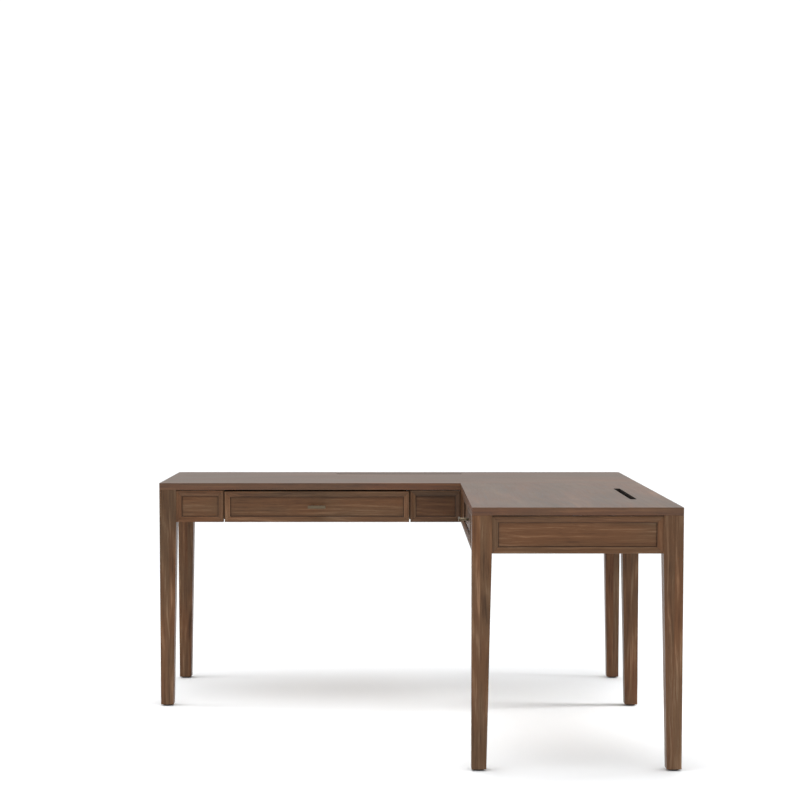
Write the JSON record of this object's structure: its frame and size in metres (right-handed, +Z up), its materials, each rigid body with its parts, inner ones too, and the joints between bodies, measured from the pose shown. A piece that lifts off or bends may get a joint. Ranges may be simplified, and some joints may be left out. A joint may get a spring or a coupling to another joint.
{
  "type": "corner desk",
  "caption": "L-shaped corner desk with tapered square legs, framed aprons, a drawer with a bar pull in each wing and a cable slot in each top.",
  "frame": {"origin": "on the floor under the middle of the square that the L fills", "axes": "+Z up; the main wing runs along X at the +Y side; the return wing runs along Y at the +X side, its free end towards -Y"},
  "size_m": [1.625, 1.625, 0.762],
  "materials": {
    "top_wood": "satin lacquered walnut-brown wood",
    "walnut": "satin lacquered walnut-brown wood",
    "moulding_wood": "satin lacquered walnut-brown wood, mitred",
    "frame_wood": "sealed, unpolished",
    "drawer_wood": "clear matt lacquer",
    "glide_plastic": "matt",
    "pull_metal": "satin nickel",
    "slide_steel": "zinc plated",
    "fixing_steel": "zinc plated"
  },
  "bodies": {
    "desk": {"main_top": "top_wood", "return_top": "top_wood", "leg_front_left": "walnut", "leg_back_left": "walnut", "leg_back_right": "walnut", "leg_mid_right": "walnut", "leg_return_left": "walnut", "leg_return_right": "walnut", "foot_glides": "glide_plastic", "left_apron": "walnut", "left_moulding": "moulding_wood", "back_apron": "walnut", "right_apron_main": "walnut", "right_apron_return": "walnut", "return_front_panel": "walnut", "return_front_moulding": "moulding_wood", "main_end_panel": "walnut", "main_end_moulding": "moulding_wood", "main_corner_panel": "walnut", "main_corner_moulding": "moulding_wood", "return_end_panel": "walnut", "return_end_moulding": "moulding_wood", "return_corner_panel": "walnut", "return_corner_moulding": "moulding_wood", "main_inner_rail": "frame_wood", "return_joining_rail": "frame_wood", "main_hanger_left": "frame_wood", "main_hanger_right": "frame_wood", "return_hanger_front": "frame_wood", "return_hanger_back": "frame_wood", "corner_blocks": "frame_wood", "leg_bolts": "fixing_steel", "joining_bolts": "fixing_steel", "hex_nuts": "fixing_steel", "top_brackets": "fixing_steel", "bracket_screws": "fixing_steel", "main_slide_outer": "slide_steel", "return_slide_outer": "slide_steel"},
    "main_drawer": {"main_slide_inner": "slide_steel", "main_drawer_front": "walnut", "main_drawer_moulding": "moulding_wood", "main_drawer_box_front": "drawer_wood", "main_drawer_side_left": "drawer_wood", "main_drawer_side_right": "drawer_wood", "main_drawer_back": "drawer_wood", "main_drawer_bottom": "drawer_wood", "main_pull": "pull_metal", "main_pull_screws": "fixing_steel"},
    "main_slide_mid": {"main_slide_middle": "slide_steel"},
    "return_drawer": {"return_slide_inner": "slide_steel", "return_drawer_front": "walnut", "return_drawer_moulding": "moulding_wood", "return_drawer_box_front": "drawer_wood", "return_drawer_side_front": "drawer_wood", "return_drawer_side_back": "drawer_wood", "return_drawer_back": "drawer_wood", "return_drawer_bottom": "drawer_wood", "return_pull": "pull_metal", "return_pull_screws": "fixing_steel"},
    "return_slide_mid": {"return_slide_middle": "slide_steel"}
  },
  "joints": [
    {"name": "main_drawer_slide", "type": "slide", "parent": "desk", "child": "main_drawer", "axis": [0, -1, 0], "range_m": [0, 0.38]},
    {"name": "main_slide_middle_slide", "type": "slide", "parent": "desk", "child": "main_slide_mid", "axis": [0, -1, 0], "range_m": [0, 0.19]},
    {"name": "return_drawer_slide", "type": "slide", "parent": "desk", "child": "return_drawer", "axis": [-1, 0, 0], "range_m": [0, 0.165]},
    {"name": "return_slide_middle_slide", "type": "slide", "parent": "desk", "child": "return_slide_mid", "axis": [-1, 0, 0], "range_m": [0, 0.0825]}
  ],
  "couplings": [
    {"joint": "main_slide_middle_slide", "follows": "main_drawer_slide", "ratio": 0.5},
    {"joint": "return_slide_middle_slide", "follows": "return_drawer_slide", "ratio": 0.5}
  ]
}
